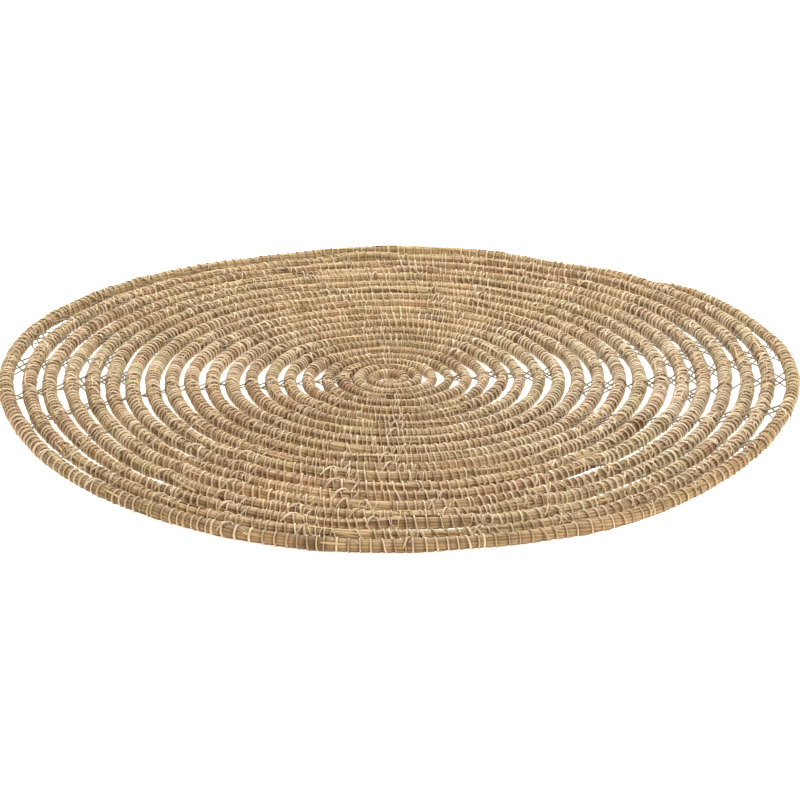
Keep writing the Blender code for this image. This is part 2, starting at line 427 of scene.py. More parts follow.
def core_arrays():
    """Sections of the whole rope. Its corners follow the twist, so that ridges
    are stalks and the corners between them are the grooves."""
    turn, pinch = core_stations()
    a = along_of(turn)
    k = rope_scale(turn)
    r = core_radius(turn) - pinch * 0.18 * MM * k + (1 - pinch) * 0.08 * MM * k
    i = np.arange(SIDES)
    twist = a / 0.40 * 2 * np.pi + 0.9 * noise(a, 0.060, 21)
    own = 2 * np.pi * i[None, :] / SIDES
    phi = own - twist[:, None]
    ridge = (i % 2 == 0).astype(float)[None, :] + 0 * phi
    stalk = (i // 2) % STALKS
    # each stalk swells, and steps down where one ends and the next takes over
    grow = np.stack([np.tanh(2.2 * noise(a, 0.024, 40 + n)) + 0.6 * noise(a, 0.007, 60 + n)
                     for n in range(STALKS)], 1)
    groove = np.stack([noise(a, 0.016, 80 + n) for n in range(STALKS)], 1)
    depth = np.where(ridge > 0.5, 0.045 * grow[:, stalk],
                     -0.105 + 0.045 * groove[:, stalk] + 0.02 * grow[:, stalk])
    rho = r[:, None] * (1 + depth)
    rows = np.arange(len(a))
    dark = np.clip(noise(a, 0.030, 170) * 1.6 - 1.0, 0, 1)
    for where, half, swell, bare in PATCHES:
        d = (a - along_of(where)) / half
        dark = np.maximum(dark, 0.32 * bare * np.exp(-d * d))
    tie = np.exp(-(near_tie(a) / 0.004) ** 2)
    dark = np.clip(dark + 0.25 * tie, 0, 1)[:, None] + 0 * rho
    # painted shade: the core between the wraps is darker at the left and right sides
    dark = dark + (0.56 * np.cos(2 * np.pi * turn) ** 2 * np.clip((turn - 1.0) / 3.0, 0, 1)
                   * (1 - 0.6 * np.clip((turn - 19.05) / 0.1, 0, 1)))[:, None]
    dark = dark + (0.16 * np.clip((9.0 - turn) / 5.0, 0, 1) + 0.55 * np.clip((turn - 20.105) / 0.008, 0, 1))[:, None]
    # painted shade on the rope's under side, darker from a little above the middle downwards
    low = np.clip((0.20 - np.sin(phi)) / 0.9, 0, 1)
    dark = np.maximum(dark, 0.55 * low)
    d = (a - along_of(19.206))[:, None] / 0.0085
    edge = (np.mod(phi - math.radians(60) + np.pi, 2 * np.pi) - np.pi) / math.radians(34)
    dark = np.maximum(dark, 2.4 * np.exp(-d ** 4 - edge ** 4))
    # each hole is dented in and painted dark: painted shade in the hole
    for where, angle, strong in dark_spots():
        row = int(np.clip(np.searchsorted(turn, where), 1, len(a) - 2))
        col = int(round((math.radians(angle) + twist[row]) / (2 * np.pi) * SIDES)) % SIDES
        rho[row, col] -= 0.42 * MM * strong * k[row]
        dark[row, col] = max(dark[row, col], 0.9 + 0.9 * strong)
    out = rho * np.cos(phi)
    up = np.maximum(rho * np.sin(phi), -(CORE_UP - 0.40 * MM))
    P, O, U = at(PATH, turn), at(OUT, turn), at(UP, turn)
    P = P - U * ((CORE_UP - 0.3 * MM) * (1 - k))[:, None]      # thin ends lie low
    verts = P[:, None, :] + out[..., None] * O[:, None, :] + up[..., None] * U[:, None, :]
    # tone of each stalk, which changes where a new stalk takes over
    tone = np.stack([np.tanh(1.6 * noise(a, 0.045, 100 + n)) + 0.5 * noise(a, 0.015, 130 + n)
                     for n in range(STALKS)], 1)
    tone = 0.5 + 0.34 * tone[:, stalk]
    part = 0.5 + 0.5 * (0.7 * noise(a, 0.045, 160) + 0.45 * noise(a, 0.013, 161))
    rim = np.clip((turn - 19.02) / 0.08, 0, 1)
    dark = dark + (rim * np.interp(turn % 1.0, RIM_AT, RIM_DARK))[:, None]
    rim = rim * np.interp(turn % 1.0, RIM_AT, RIM_FRESH)
    fib = np.stack([a[:, None] + 0 * rho, CORE_R * np.cos(own) + 0 * rho,
                    CORE_R * np.sin(own) + 0 * rho], -1)
    # the groove share darkens the corners between the stalks in the material: painted shade in the grooves
    shade = np.stack([tone, 1 - ridge, dark], -1)
    # pinch paints shade on the core beside each wrap, where the strand draws it in; this painted shade and the dark
    # share are weaker at the back, the back left and the right diagonals
    sideways, behind = np.cos(2 * np.pi * turn) ** 2, np.maximum(0, np.sin(2 * np.pi * turn))
    pinch = pinch * (1.0 + 0.20 * sideways - 0.32 * behind * (1 - sideways))
    soft = np.exp(-((np.mod(turn, 1.0) - 0.37) / 0.085) ** 2) * np.clip((turn - 7.0) / 3.0, 0, 1)
    pinch = pinch * (1 - 0.66 * soft)
    dark = dark * (1 - 0.60 * soft - 0.15 * behind * (1 - soft))[:, None]
    diagonal = np.sin(4 * np.pi * turn) ** 2 * (np.cos(2 * np.pi * turn) > 0)
    dark = dark * (1 - 0.50 * diagonal)[:, None]
    pinch = pinch * (1 - (0.12 + 0.26 * behind) * diagonal)
    more = np.stack([pinch[:, None] + 0 * rho, rim[:, None] + 0 * rho,
                     part[:, None] + 0 * rho], -1)
    own = np.stack([pale_at(turn), 0 * turn, 0 * turn], -1)[:, None, :] + 0 * more
    return turn, a, verts, fib, shade, more, own


def core_piece(name, lo, hi, data, material):
    turn, a, verts, fib, shade, more, own = data
    n = hi - lo
    ring = np.arange(n)[:, None] * SIDES + np.arange(SIDES)[None, :]
    nxt = np.arange(n)[:, None] * SIDES + (np.arange(SIDES)[None, :] + 1) % SIDES
    quads = np.stack([ring[:-1], ring[1:], nxt[1:], nxt[:-1]], -1).reshape(-1, 4)
    length = a[lo:hi] - a[lo]
    rows = 15
    row_length = length[-1] / rows * 1.0001
    s0 = np.repeat(length[:-1], SIDES)
    s1 = np.repeat(length[1:], SIDES)
    j = np.tile(np.arange(SIDES), n - 1)
    uv = row_uv(s0, s1, j / SIDES, (j + 1) / SIDES, rows, row_length)
    pick = slice(lo, hi)
    return new_mesh(name, verts[pick].reshape(-1, 3), quads[:, ::-1],
                    [ring[0], ring[-1][::-1]], {
                        "fib": fib[pick].reshape(-1, 3),
                        "shade": shade[pick].reshape(-1, 3),
                        "more": more[pick].reshape(-1, 3),
                        "own": own[pick].reshape(-1, 3)},
                    uv[:, ::-1, :].reshape(-1, 2),
                    [cap_place(0.0, rows, row_length), cap_place(length[-1], rows, row_length)],
                    material)


# ---------------------------------------------------------------- the strands
def sweep(name, P, W, N, width, height, sunk, tone, material, rows=64, extra=None):
    """Flat strands: P, W and N are (strand, sample, 3) positions, width and
    outward directions; width, height and tone are (strand, sample)."""
    S, M = P.shape[:2]
    w, h = width[..., None], height[..., None]
    ring = np.stack([P + W * w * 0.5 - N * sunk, P + W * w * 0.30 + N * h,
                     P - W * w * 0.30 + N * h, P - W * w * 0.5 - N * sunk], 2)
    base = (np.arange(S)[:, None] * M + np.arange(M)[None, :])[..., None] * 4
    idx = base + np.arange(4)
    nxt = base + (np.arange(4) + 1) % 4
    quads = np.stack([idx[:, :-1], idx[:, 1:], nxt[:, 1:], nxt[:, :-1]], -1).reshape(-1, 4)
    # faces out: check some quads against their way out from the strand's middle
    v = ring.reshape(-1, 3)
    q = quads[:4000]
    normal = np.cross(v[q[:, 1]] - v[q[:, 0]], v[q[:, 2]] - v[q[:, 0]])
    centre = ring.reshape(-1, 4, 3).mean(1)[q[:, 0] // 4]
    flip = (normal * (v[q].mean(1) - centre)).sum() < 0
    length = np.linalg.norm(np.diff(P, axis=1), axis=2)
    run = np.concatenate([np.zeros((S, 1)), np.cumsum(length, 1)], 1)
    begin = np.concatenate([[0.0], np.cumsum(run[:, -1] + 0.0008)[:-1]])
    run = run + begin[:, None]
    row_length = run.max() * 1.0001 / rows
    s0 = np.repeat(run[:, :-1].reshape(-1), 4)
    s1 = np.repeat(run[:, 1:].reshape(-1), 4)
    j = np.tile(np.arange(4), S * (M - 1))
    uv = row_uv(s0, s1, j / 4, (j + 1) / 4, rows, row_length)
    heads, tails = idx[:, 0], idx[:, -1]
    if flip:
        quads = quads[:, ::-1]
        uv = uv[:, ::-1]
        caps = [*heads, *tails[:, ::-1]]
    else:
        caps = [*heads[:, ::-1], *tails]
    places = [cap_place(x, rows, row_length) for x in [*run[:, 0], *run[:, -1]]]
    fib = np.stack([run, np.zeros_like(run), tone], -1)
    fib = np.repeat(fib[:, :, None, :], 4, 2)
    fib[..., 1] = np.array([-1.0, -0.5, 0.5, 1.0]) * 0.0004
    attributes = {"fib": fib.reshape(-1, 3)}
    if extra is None:
        extra = {"own": np.array([0.2, 0.62, 0.0]) + np.zeros((S, M, 3))}
    for key, rows_of in extra.items():
        attributes[key] = np.repeat(rows_of[:, :, None, :], 4, 2).reshape(-1, 3)
    return new_mesh(name, v, quads, caps, attributes, uv.reshape(-1, 2), places, material)


def frame_of(P, N):
    """Width and outward directions of strands that run through P, near N."""
    D = np.gradient(P, axis=1)
    D /= np.linalg.norm(D, axis=2)[..., None]
    W = np.cross(D, N)
    W /= np.linalg.norm(W, axis=2)[..., None] + 1e-9
    return W, np.cross(W, D)


F_TOP = np.linspace(-0.25, 0.25, 9)[:-1]
F_LOW = np.linspace(0.25, 0.75, 6)[:-1]
F_ONE = np.concatenate([F_TOP, F_LOW])            # one wind, from the inner side


def wrap_pieces(material):
    n = len(WRAPS) - 1
    g = np.random.default_rng(31)
    ff = F_ONE[None, :]                            # 0 where it crosses the top
    prev = np.concatenate([[WRAPS[0] - (WRAPS[1] - WRAPS[0])], WRAPS[:-2]])
    here, nxt = WRAPS[:-1], WRAPS[1:]
    rim = here > 19.1
    lean = np.where(rim, g.normal(0.85, 0.45, n), g.normal(0.22, 0.42, n))[:, None]
    lean = np.clip(lean, -0.6, 1.5)
    face = -0.13 * np.sin(2 * np.pi * here)[:, None]
    adv = ff - lean / (2 * np.pi) * (np.sin(2 * np.pi * (ff - face)) + np.sin(2 * np.pi * face))
    step = np.where(ff < 0, (here - prev)[:, None], (nxt - here)[:, None])
    turn = here[:, None] + adv * step
    gap = along_of(nxt) - along_of(here)
    wob = g.normal(0, 0.12, (n, 1)) + 0.14 * np.sin(2 * np.pi * ff + g.uniform(0, 6.28, (n, 1)))
    turn = turn + wob * MM / (2 * np.pi * radius_of(turn))
    turn = np.maximum.accumulate(turn.reshape(-1)).reshape(n, -1)
    phi = np.pi / 2 - 2 * np.pi * ff + 0 * turn    # out at 0, up at 90 degrees
    k = rope_scale(turn)
    rho = core_radius(turn) - 0.05 * MM * k + 0.06 * MM * g.normal(0, 1, (n, 1))
    P0, O, U, T = at(PATH, turn), at(OUT, turn), at(UP, turn), at(TAN, turn)
    P0 = P0 - U * ((CORE_UP - 0.3 * MM) * (1 - k))[..., None]
    N = np.cos(phi)[..., None] * O + np.sin(phi)[..., None] * U
    C = np.sin(phi)[..., None] * O - np.cos(phi)[..., None] * U
    tan_a = (gap[:, None] * (1 - lean * np.cos(2 * np.pi * (ff - face)))) / (2 * np.pi * rho)
    ca = 1 / np.sqrt(1 + tan_a ** 2)
    W = ca[..., None] * T - (ca * tan_a)[..., None] * C
    up = np.maximum(rho * np.sin(phi), -(CORE_UP - 0.46 * MM))
    P = P0 + (rho * np.cos(phi))[..., None] * O + up[..., None] * U
    size = 1 + 0.16 * noise(along_of(here), 0.07, 35)
    side = np.cos(2 * np.pi * here) ** 2
    wide = np.clip((0.78 + 0.14 * side) * size * np.exp(g.normal(0, 0.22, n)), 0.42, 1.25)
    wide = np.minimum(wide, 0.62 * gap / MM)
    small = 1 - 0.22 * np.clip((5.0 - here) / 2.0, 0, 1)
    tall = small * np.clip((0.48 - 0.02 * side) * size * np.exp(g.normal(0, 0.16, n)), 0.28, 0.66)
    width = wide[:, None] * MM * (1 + 0 * phi)
    height = tall[:, None] * MM * (1 + 0 * phi)
    height = np.where(np.sin(phi) < -0.6, 0.28 * MM, height)
    slow = 0.5 + 0.18 * noise(along_of(here), 0.06, 33) + g.normal(0, 0.20, n) - 0.04 * side
    slow = slow - 0.14 * np.clip((here - 19.05) / 0.1, 0, 1) * np.maximum(0, -np.sin(2 * np.pi * here))
    diagonal = np.sin(4 * np.pi * here) ** 2 * (np.cos(2 * np.pi * here) > 0)
    slow = slow + 0.13 * diagonal - 0.12 * np.maximum(0, -np.sin(2 * np.pi * here))
    slow = slow - 0.07 * np.maximum(0, np.sin(2 * np.pi * here))
    slow = slow - 0.05 * np.exp(-((np.mod(here, 1.0) - 0.37) / 0.085) ** 2) * np.clip((here - 7.0) / 3.0, 0, 1)
    # rim wraps are darker at the front right, and at the back left a cast shadow is painted on them
    slow = slow - 0.30 * np.exp(-((here - 19.895) / 0.07) ** 4) - 0.28 * np.exp(-((here - 19.37) / 0.10) ** 4)
    slow = np.where(g.random(n) < 0.06, slow - 0.45, slow) - 0.28 * np.clip((9.0 - here) / 5.0, 0, 1)
    tone = np.clip(slow[:, None] + 0 * phi, 0, 1)
    hue = 0.5 + 0.46 * noise(along_of(here), 0.035, 37) + g.normal(0, 0.18, n)
    own = np.stack([pale_at(here), np.clip(hue, 0, 1), np.zeros(n)], -1)
    own = np.repeat(own[:, None], len(F_ONE), 1)
    out = []
    cuts = [0, n // 2, n]
    for i, (a, b) in enumerate(zip(cuts, cuts[1:])):
        pick = lambda x: x[a:b].reshape(1, (b - a) * len(F_ONE), *x.shape[2:])
        out.append(sweep("binding_%d" % (i + 1), pick(P), pick(W), pick(N), pick(width),
                         pick(height), 0.14 * MM, pick(tone), material, rows=150,
                         extra={"own": pick(own)}))
    return out


def on_rope(turn, phi, lift):
    """Point on the rope's surface and its outward direction."""
    k = rope_scale(turn)
    rho = core_radius(turn) + lift
    P0, O, U = at(PATH, turn), at(OUT, turn), at(UP, turn)
    P0 = P0 - U * ((CORE_UP - 0.3 * MM) * (1 - k))[..., None]
    N = np.cos(phi)[..., None] * O + np.sin(phi)[..., None] * U
    return P0 + rho[..., None] * N, N


def across(name, mid_in, mid_out, shift, rows, tones, wide, tall, seed, material, uv_rows):
    """Strands from a rope over the gap to the next: rows give the share of the
    shift, the rope, the angle round it (one for each strand) and the lift."""
    g = np.random.default_rng(seed)
    S = len(mid_in)
    P, N = [], []
    for share, rope, angle, lift in rows:
        mid = mid_in if rope == 0 else mid_out
        turn = np.clip(mid + share * shift / (2 * np.pi * radius_of(mid)), CURL_IN, LAST_TURN - 0.002)
        p, n_ = on_rope(turn, np.radians(angle + np.zeros(S)), lift * MM)
        P.append(p)
        N.append(n_)
    P, N = np.stack(P, 1), np.stack(N, 1)
    tones = np.array(tones, float) + np.zeros((S, len(rows)))
    free = tones.min(0) < -0.1
    N[:, free] = N[:, free] * 0.35 + np.array([0.0, 0.0, 0.65])
    N /= np.linalg.norm(N, axis=2)[..., None]
    W, N = frame_of(P, N)
    M = P.shape[1]
    width = wide[:, None] * MM * np.ones((1, M))
    height = tall[:, None] * MM * np.ones((1, M))
    width[:, free] = np.minimum(width[:, free], 0.66 * MM)
    height[:, free] *= 1.15
    tone = np.clip(0.5 + g.normal(0, 0.2, (S, 1)), 0, 1) + np.zeros((1, M))
    tone = tone * (1 + tones) + tones
    return sweep(name, P, W, N, width, height, 0.12 * MM, tone, material, rows=uv_rows)


def cross_stitches(material):
    """Groups of crossed stitches. Two strands cross in the gap, one higher."""
    g = np.random.default_rng(55)
    mid, shift, high, gap_shade, over = [], [], [], [], []
    for t in TIES:
        r = float(radius_of(t))
        open_ = float(np.linalg.norm(at(PATH, min(t + 1.0, LAST_TURN)) - at(PATH, t))) - 6.2 * MM
        rim = t > 18.1
        count = int(g.choice([1, 2, 3], p=[0.0, 0.35, 0.65] if rim else [0.18, 0.48, 0.34]))
        if t < 9.0:
            count = min(count, 1 + (g.random() < 0.4))
        theta = (t % 1.0) * 360.0
        near_left = 188 < theta < 256
        if g.random() < 0.6 * abs(math.sin(2 * math.pi * t)) ** 3:
            count = 1
        half = min(4.3 * MM, max(0.6 * MM, open_ * g.uniform(0.75, 1.12)))
        half *= 0.42 + 0.58 * min(1.0, abs(math.cos(2 * math.pi * t)) * 1.6)
        if near_left:
            half, count = max(1.0 * MM, 0.55 * half), min(count, 2)
        for c in range(count):
            m = t + ((c - (count - 1) / 2) * half * g.uniform(1.4, 2.1)) / (2 * math.pi * r)
            flank = abs(math.sin(2 * math.pi * t)) ** 3
            lone = g.random()
            for sign, hi in ((1, 22.0), (-1, 4.0)):
                if (lone < (0.65 if near_left else 0.12) and sign < 0) or (
                        lone > 1.0 - 0.62 * flank and sign > 0 and not near_left):
                    continue
                mid.append(m)
                shift.append(sign * half * g.uniform(0.85, 1.15))
                high.append(hi + g.normal(0, 2.5))
                gap_shade.append((0.15 + 0.70 * abs(math.cos(2 * math.pi * m))) * min(1.0, 0.45 + t / 14.0))
                sideways = abs(math.cos(2 * math.pi * t))
                forward = 0.50 if sideways > 0.8 else 0.20
                over.append(sideways > 0.6 and not near_left and
                            g.random() < (forward if sign > 0 else 0.95 - forward))
    mid, shift, high, over = np.array(mid), np.array(shift), np.array(high), np.array(over)
    # over: the strand runs on over the top of both ropes. The others dive in beside it
    rows = []
    for long_, short in (
            ((-2.40, 0, 140, -0.35), (-1.50, 0, 78, -0.35)), ((-2.05, 0, 112, 0.30), (-1.36, 0, 64, 0.16)),
            ((-1.70, 0, 84, 0.38), (-1.22, 0, 50, 0.22)), ((-1.34, 0, 52, 0.26), (-1.10, 0, 36, 0.18)),
            ((-1.0, 0, high, 0.02), (-1.0, 0, high, 0.02)),
            ((1.0, 1, 180 - high, 0.02), (1.0, 1, 180 - high, 0.02)),
            ((1.34, 1, 128, 0.26), (1.10, 1, 144, 0.18)), ((1.70, 1, 96, 0.38), (1.22, 1, 130, 0.22)),
            ((2.05, 1, 68, 0.30), (1.36, 1, 116, 0.16)), ((2.40, 1, 42, -0.35), (1.50, 1, 102, -0.35))):
        rows.append((np.where(over, long_[0], short[0]), long_[1],
                     np.where(over, long_[2], short[2]), np.where(over, long_[3], short[3])))
    # the stretch over the gap is painted darker, as painted shade, most at the sides
    tones = np.array([0, 0, 0, -0.05, -1, -1, -0.05, 0, 0, 0]) * np.array(gap_shade)[:, None]
    S = len(mid)
    wide = np.where(over, 0.84, 0.60) * np.exp(g.normal(0, 0.14, S))
    tall = np.where(over, 0.40, 0.35) * np.exp(g.normal(0, 0.12, S))
    return across("cross_stitches", mid, np.minimum(mid + 1.0, LAST_TURN - 0.004), shift, rows,
                  tones, wide, tall, 56, material, 110)


def through_stitches(material):
    """Where wraps of two turns follow on at the front and back, the strand often
    runs straight on from one rope to the next."""
    g = np.random.default_rng(63)
    a_in, a_out = [], []
    for t in WRAPS[(WRAPS > 0.6) & (WRAPS < 19.06)]:
        flank = max(0.0, abs(math.sin(2 * math.pi * t)) - 0.45) / 0.55
        if g.random() > 0.09 * min(1.0, flank * 2.2):
            continue
        per = 2 * math.pi * float(radius_of(t))
        j = np.searchsorted(WRAPS, t + 1.0 + 0.9 * MM / per)
        best = min((m for m in WRAPS[max(0, j - 1):j + 1]), default=None,
                   key=lambda m: abs(m - t - 1.0 - 0.9 * MM / per))
        if best is None or abs(best - t - 1.0 - 0.9 * MM / per) * per > 1.3 * MM:
            continue
        a_in.append(t + 0.55 * MM / per)
        a_out.append(best - 0.45 * MM / per)
    a_in, a_out = np.array(a_in), np.array(a_out)
    S = len(a_in)
    rows = ((-1.0, 0, 82, -0.25), (-0.75, 0, 62, 0.26), (-0.4, 0, 38, 0.30),
            (0.0, 0, g.uniform(8, 26, S), 0.20), (0.0, 1, 180 - g.uniform(6, 24, S), 0.20),
            (0.4, 1, 142, 0.30), (0.75, 1, 118, 0.26), (1.0, 1, 98, -0.25))
    # the stretch down in the gap is painted a little darker, as painted shade
    tones = (0, 0, 0, -0.12, -0.12, 0, 0, 0)
    wide = 0.72 * np.exp(g.normal(0, 0.18, S))
    tall = 0.38 * np.exp(g.normal(0, 0.12, S))
    shift = g.normal(0.4, 0.35, S) * MM
    return across("through_stitches", a_in, a_out, shift, rows, tones, wide, tall, 64, material, 70)


def long_stitches(material):
    """Single strands that come up between two ropes and run slantwise over the
    whole of the outer one, mostly at the near left."""
    g = np.random.default_rng(91)
    mid, shift = [], []
    for t in TIES[TIES > 3.0]:
        theta = (t % 1.0) * 360.0
        if 184 < theta < 262:
            chance, slant = 0.92, -3.0
        elif 262 <= theta < 335:
            chance, slant = 0.40, -2.2
        elif 100 < theta <= 184:
            chance, slant = 0.25, 1.6
        else:
            chance, slant = 0.20, -1.6
        if g.random() < chance:
            mid.append(t + g.normal(0.0, 0.8) * MM / (2 * math.pi * float(radius_of(t))))
            shift.append(slant * g.uniform(0.75, 1.25) * MM)
    S = len(mid)
    mid, shift = np.array(mid), np.array(shift)
    rows = ((-1.0, 0, 66, -0.25), (-0.75, 0, 40, 0.28), (-0.45, 0, 14, 0.16), (-0.20, 1, 176, 0.16),
            (0.15, 1, 148, 0.46), (0.55, 1, 118, 0.56), (0.95, 1, 90, 0.60), (1.35, 1, 62, 0.54),
            (1.70, 1, 36, 0.40), (2.00, 1, 12, -0.20))
    # the stretch down in the gap is painted a little darker, as painted shade
    tones = (0, 0, -0.15, -0.15, 0, 0, 0, 0, 0, 0)
    wide = 0.80 * np.exp(g.normal(0, 0.14, S))
    tall = 0.38 * np.exp(g.normal(0, 0.10, S))
    return across("long_stitches", mid, np.minimum(mid + 1.0, LAST_TURN - 0.01), shift, rows, tones,
                  wide, tall, 92, material, 60)


def stub_piece(material):
    """Short loose ends of strand and stalk that stand off the rope."""
    g = np.random.default_rng(77)
    S = 120
    a = g.uniform(along_of(1.5), along_of(20.05), S)
    a[:46] = g.uniform(along_of(19.15), along_of(20.1), 46)
    turn = turn_of(a)
    phi = np.radians(g.uniform(35, 140, S))
    phi[:46] = np.radians(g.uniform(5, 80, 46))
    long = g.uniform(1.6, 4.6, S) * MM
    ahead = g.uniform(-1, 1, S)
    p0, n0 = on_rope(turn, phi, -0.25 * MM)
    T = at(TAN, turn)
    side = np.cross(n0, T)
    bend = g.normal(0, 0.35, S)
    P = []
    for f in (0.0, 0.35, 0.7, 1.0):
        off = n0 * (0.42 * f * (1 - 0.35 * f)) + T * (ahead * f)[:, None] * 0.85
        off = off + side * (bend * f * f)[:, None]
        P.append(p0 + long[:, None] * off + n0 * 0.5 * MM * f)
    P = np.stack(P, 1)
    P[..., 2] = np.maximum(P[..., 2], 0.35 * MM)
    W, N = frame_of(P, np.repeat(n0[:, None], 4, 1))
    taper = np.array([1, 0.95, 0.8, 0.4])
    wide = g.uniform(0.28, 0.50, (S, 1)) * taper * MM
    tall = g.uniform(0.14, 0.24, (S, 1)) * taper * MM
    tone = np.repeat(np.clip(0.30 + g.normal(0, 0.22, (S, 1)), 0, 1), 4, 1)
    return sweep("loose_ends", P, W, N, wide, tall, 0.06 * MM, tone, material, rows=24)


def stalk_piece(material):
    """Stalks that lie proud of the bundle for a way, over or under the wraps."""
    g = np.random.default_rng(81)
    S, M = 420, 7
    a = g.uniform(along_of(0.6), along_of(20.03), S)
    long = g.uniform(6, 17, S) * MM
    start = np.radians(g.uniform(25, 155, S))
    turn_by = g.normal(0, 0.20, S)
    f = np.linspace(0, 1, M)
    along = a[:, None] + long[:, None] * f
    turn = turn_of(along)
    phi = start[:, None] + turn_by[:, None] * f - (along - a[:, None]) / 0.40 * 2 * np.pi
    lift = (0.02 + 0.10 * np.sin(np.pi * f))[None, :] * MM + 0 * phi
    end = g.random(S) < 0.25                       # a few stalk ends stand out
    lift[end, -1] += g.uniform(0.3, 0.9, end.sum()) * MM
    lift[end, -2] += 0.15 * MM
    P, N = on_rope(turn, phi, lift)
    W, N = frame_of(P, N)
    ends = np.array([0.45, 0.9, 1, 1, 1, 0.95, 0.6])
    wide = g.uniform(0.75, 1.25, (S, 1)) * ends * MM
    tall = g.uniform(0.16, 0.32, (S, 1)) * ends * MM
    tone = np.clip(0.36 + g.normal(0, 0.20, (S, 1)), 0, 0.70) + np.zeros((1, M))
    zero = np.zeros((S, M))
    rim = np.clip((turn - 19.02) / 0.08, 0, 1)
    hue = np.clip(0.5 + g.normal(0, 0.22, (S, 1)), 0, 1) + zero
    dark = np.where(g.random((S, 1)) < 0.16, 0.9, 0.05) + zero
    return sweep("proud_stalks", P, W, N, wide, tall, 0.25 * MM, tone * 0.0006, material, rows=40,
                 extra={"shade": np.stack([tone, zero, dark], -1),
                        "more": np.stack([zero, rim, hue], -1)})


# ------------------------------------------------------------------ materials
def material(name):
    m = bpy.data.materials.new(name)
    m.use_nodes = True
    nt = m.node_tree
    return m, nt, nt.nodes["Principled BSDF"]


def node(nt, kind, **values):
    n = nt.nodes.new(kind)
    for key, value in values.items():
        setattr(n, key, value)
    return n


def ramp(nt, stops):
    n = nt.nodes.new("ShaderNodeValToRGB")
    e = n.color_ramp.elements
    while len(e) < len(stops):
        e.new(0.5)
    for el, (pos, col) in zip(e, stops):
        el.position = pos
        el.color = (*col, 1.0)
    return n


def math_node(nt, op, a, b, clamp=False):
    n = node(nt, "ShaderNodeMath", operation=op, use_clamp=clamp)
    for i, x in enumerate((a, b)):
        if isinstance(x, (int, float)):
            n.inputs[i].default_value = x
        else:
            nt.links.new(x, n.inputs[i])
    return n.outputs[0]


def mix(nt, mode, factor, a, b):
    n = node(nt, "ShaderNodeMix", data_type="RGBA", blend_type=mode)
    for i, x in ((0, factor), (6, a), (7, b)):
        if hasattr(x, "is_linked"):
            nt.links.new(x, n.inputs[i])
        elif i == 0:
            n.inputs[0].default_value = x
        else:
            n.inputs[i].default_value = (*x, 1.0)
    return n.outputs[2]


def attribute(nt, name):
    n = node(nt, "ShaderNodeAttribute", attribute_name=name)
    s = node(nt, "ShaderNodeSeparateXYZ")
    nt.links.new(n.outputs["Vector"], s.inputs[0])
    return s.outputs


def fibre(nt, x, y, z, fine, coarse):
    """Noise drawn out along the stalk."""
    c = node(nt, "ShaderNodeCombineXYZ")
    nt.links.new(math_node(nt, "MULTIPLY", x, coarse), c.inputs[0])
    nt.links.new(math_node(nt, "MULTIPLY", y, fine), c.inputs[1])
    if z is not None:
        nt.links.new(math_node(nt, "MULTIPLY", z, fine), c.inputs[2])
    n = node(nt, "ShaderNodeTexNoise")
    n.inputs["Scale"].default_value = 1.0
    n.inputs["Detail"].default_value = 3.0
    n.inputs["Roughness"].default_value = 0.6
    nt.links.new(c.outputs[0], n.inputs["Vector"])
    return n.outputs[0]


def straw_material():
    m, nt, b = material("straw_bundle")
    fib, shade, more = attribute(nt, "fib"), attribute(nt, "shade"), attribute(nt, "more")
    base = ramp(nt, [(0.0, (0.225, 0.127, 0.054)), (0.20, (0.400, 0.262, 0.128)),
                     (0.45, (0.545, 0.385, 0.206)), (0.75, (0.650, 0.480, 0.276)),
                     (1.0, (0.735, 0.570, 0.347))])
    nt.links.new(shade[0], base.inputs[0])
    hue = ramp(nt, [(0.0, (0.95, 0.78, 0.68)), (0.28, (1.0, 0.94, 0.86)),
                    (0.62, (1.0, 1.0, 0.93)), (1.0, (0.88, 0.95, 0.76))])
    nt.links.new(more[2], hue.inputs[0])
    col = mix(nt, "MULTIPLY", 0.85, base.outputs[0], hue.outputs[0])
    # the rim's rope is fresher and yellower
    col = mix(nt, "MIX", math_node(nt, "MULTIPLY", more[1], 0.52), col, (0.50, 0.342, 0.152))
    line = fibre(nt, fib[0], fib[1], fib[2], 2300.0, 45.0)
    dark = ramp(nt, [(0.30, (0.45, 0.37, 0.30)), (0.50, (0.96, 0.95, 0.93)), (0.72, (1.12, 1.10, 1.06))])
    nt.links.new(line, dark.inputs[0])
    col = mix(nt, "MULTIPLY", 1.0, col, dark.outputs[0])
    own = attribute(nt, "own")
    col = mix(nt, "MULTIPLY", own[0], col, (1.05, 1.12, 1.28))
    # painted shade between stalks; the dark share: darker stretches, old patches, and painted shade in holes,
    # between the wraps at the sides and on the under side; painted shade beside each wrap
    col = mix(nt, "MULTIPLY", math_node(nt, "MULTIPLY", shade[1], 0.78), col, (0.38, 0.27, 0.165))
    col = mix(nt, "MULTIPLY", math_node(nt, "MULTIPLY", shade[2], 0.80, clamp=True), col, (0.36, 0.24, 0.125))
    col = mix(nt, "MULTIPLY", math_node(nt, "MULTIPLY", more[0], 0.90), col, (0.37, 0.262, 0.150))
    nt.links.new(col, b.inputs["Base Color"])
    rough = node(nt, "ShaderNodeMapRange")
    rough.inputs[3].default_value, rough.inputs[4].default_value = 0.72, 0.52
    nt.links.new(line, rough.inputs[0])
    nt.links.new(rough.outputs[0], b.inputs["Roughness"])
    b.inputs["Specular IOR Level"].default_value = 0.35
    b.inputs["Sheen Weight"].default_value = 0.05
    b.inputs["Sheen Roughness"].default_value = 0.5
    bump = node(nt, "ShaderNodeBump")
    bump.inputs["Strength"].default_value = 0.7
    bump.inputs["Distance"].default_value = 0.00012
    nt.links.new(line, bump.inputs["Height"])
    nt.links.new(bump.outputs[0], b.inputs["Normal"])
    return m


